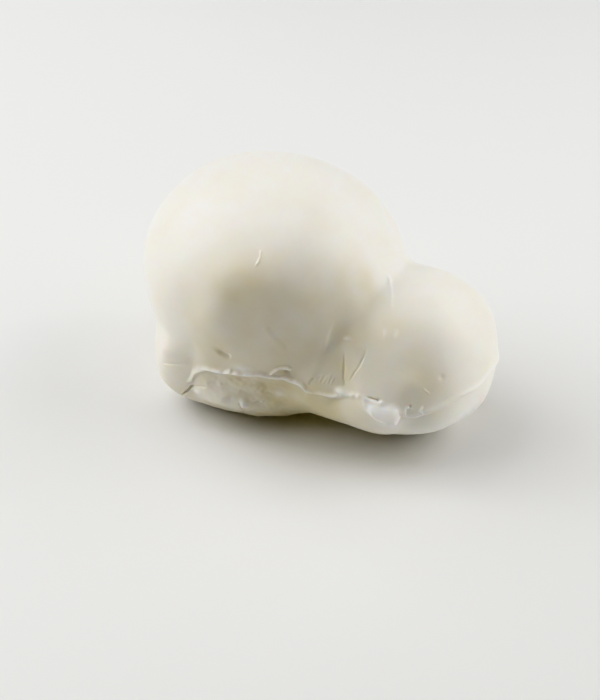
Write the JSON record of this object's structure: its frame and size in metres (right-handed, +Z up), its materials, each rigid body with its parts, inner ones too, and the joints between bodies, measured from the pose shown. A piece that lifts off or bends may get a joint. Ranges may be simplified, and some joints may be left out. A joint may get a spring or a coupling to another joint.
{
  "type": "scamorza cheese",
  "caption": "Whole white scamorza lying on its side: a big slumped ball joined by a soft neck to a smaller head ball, with a thin moulding seam all round.",
  "frame": {"origin": "on the resting surface, under the middle of the bounding box", "axes": "+X along the cheese from the big ball to the head ball, -Y towards the side that bulges low down at the heel, +Z up"},
  "size_m": [0.12, 0.0822, 0.0763],
  "materials": {
    "cheese": "smooth milky white, satin and slightly moist"
  },
  "bodies": {
    "root": {"scamorza": "cheese"}
  },
  "joints": []
}
